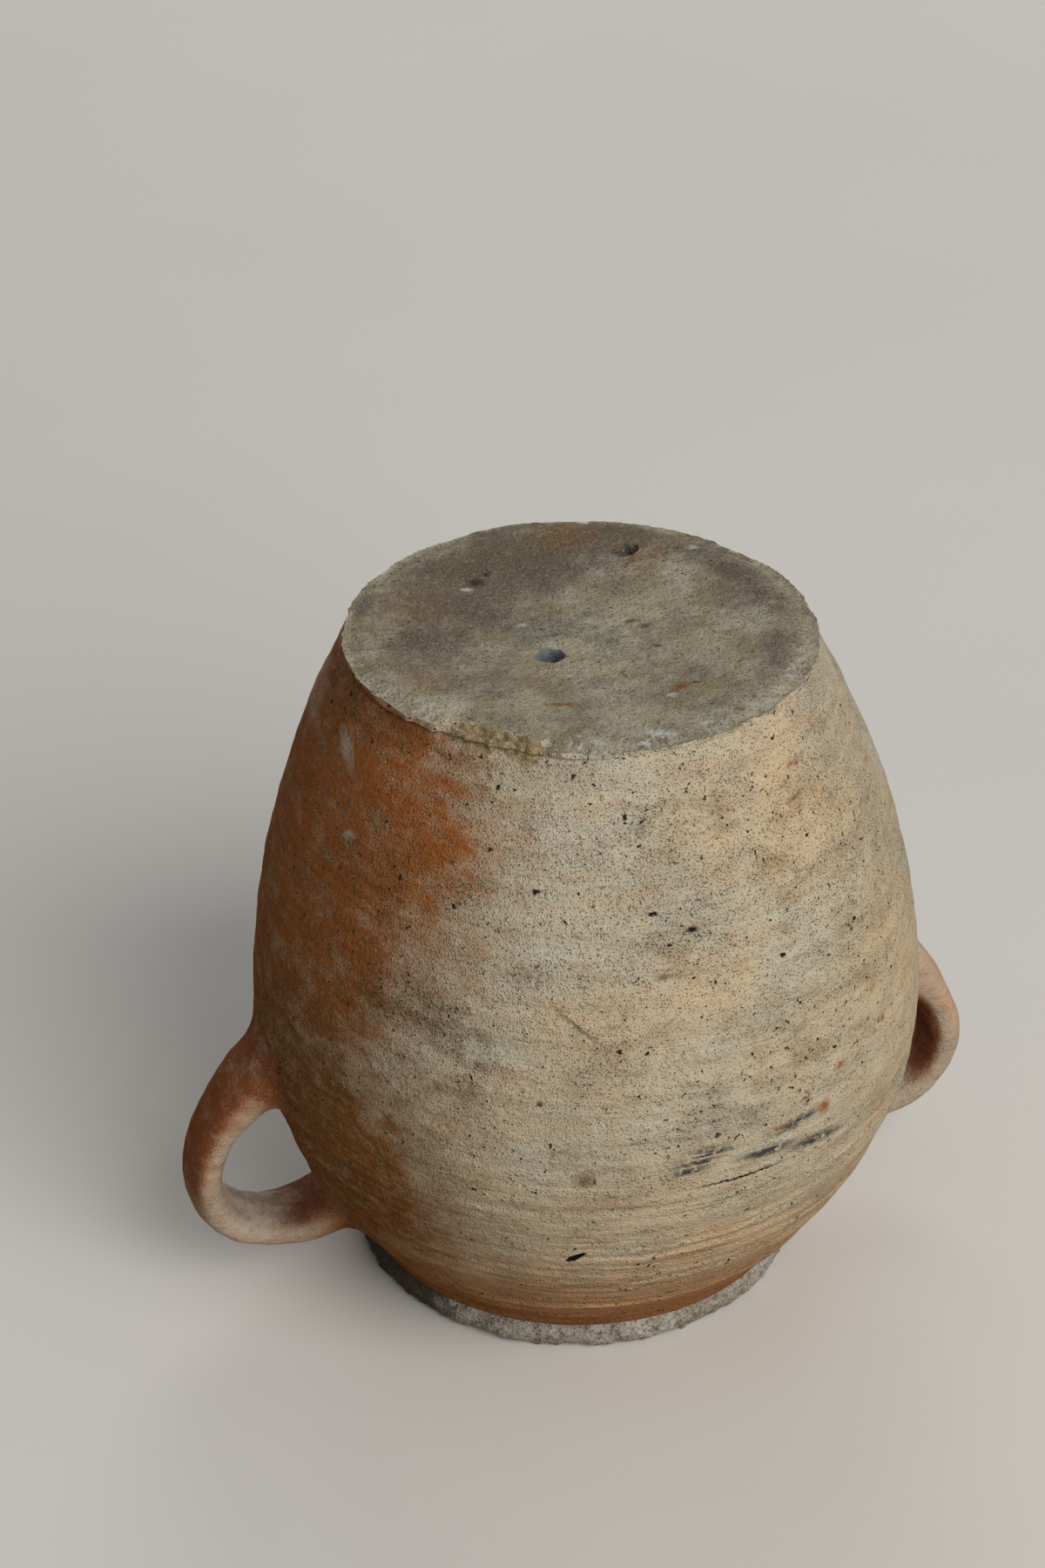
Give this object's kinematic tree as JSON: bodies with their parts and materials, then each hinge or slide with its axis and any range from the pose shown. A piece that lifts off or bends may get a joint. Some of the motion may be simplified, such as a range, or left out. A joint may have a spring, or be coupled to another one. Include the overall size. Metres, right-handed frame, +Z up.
{
  "type": "confit pot",
  "caption": "Egg-bellied earthenware storage pot with ear-shaped strap handles, a rolled glazed rim and drain holes drilled in its base, stored upside down on its rim.",
  "frame": {"origin": "centre of the ring that the rim stands on, at floor level, with the pot upside down as in the picture", "axes": "+Z up through the middle of the base, +X towards the right-hand handle, +Y away from the viewer"},
  "size_m": [0.3103, 0.248, 0.26],
  "materials": {
    "buff_earthenware": "matte",
    "flashed_earthenware": "matte",
    "weathered_base": "matte",
    "honey_glaze": "gloss",
    "worn_glaze": "satin"
  },
  "bodies": {
    "root": {"base_disc": "weathered_base", "belly_wall": "buff_earthenware", "neck_rim": "flashed_earthenware", "inner_glaze": "honey_glaze", "rim_glaze": "worn_glaze", "left_handle": "flashed_earthenware", "left_neck_wad": "flashed_earthenware", "left_belly_wad": "flashed_earthenware", "right_handle": "flashed_earthenware", "right_neck_wad": "flashed_earthenware", "right_belly_wad": "flashed_earthenware"}
  },
  "joints": []
}
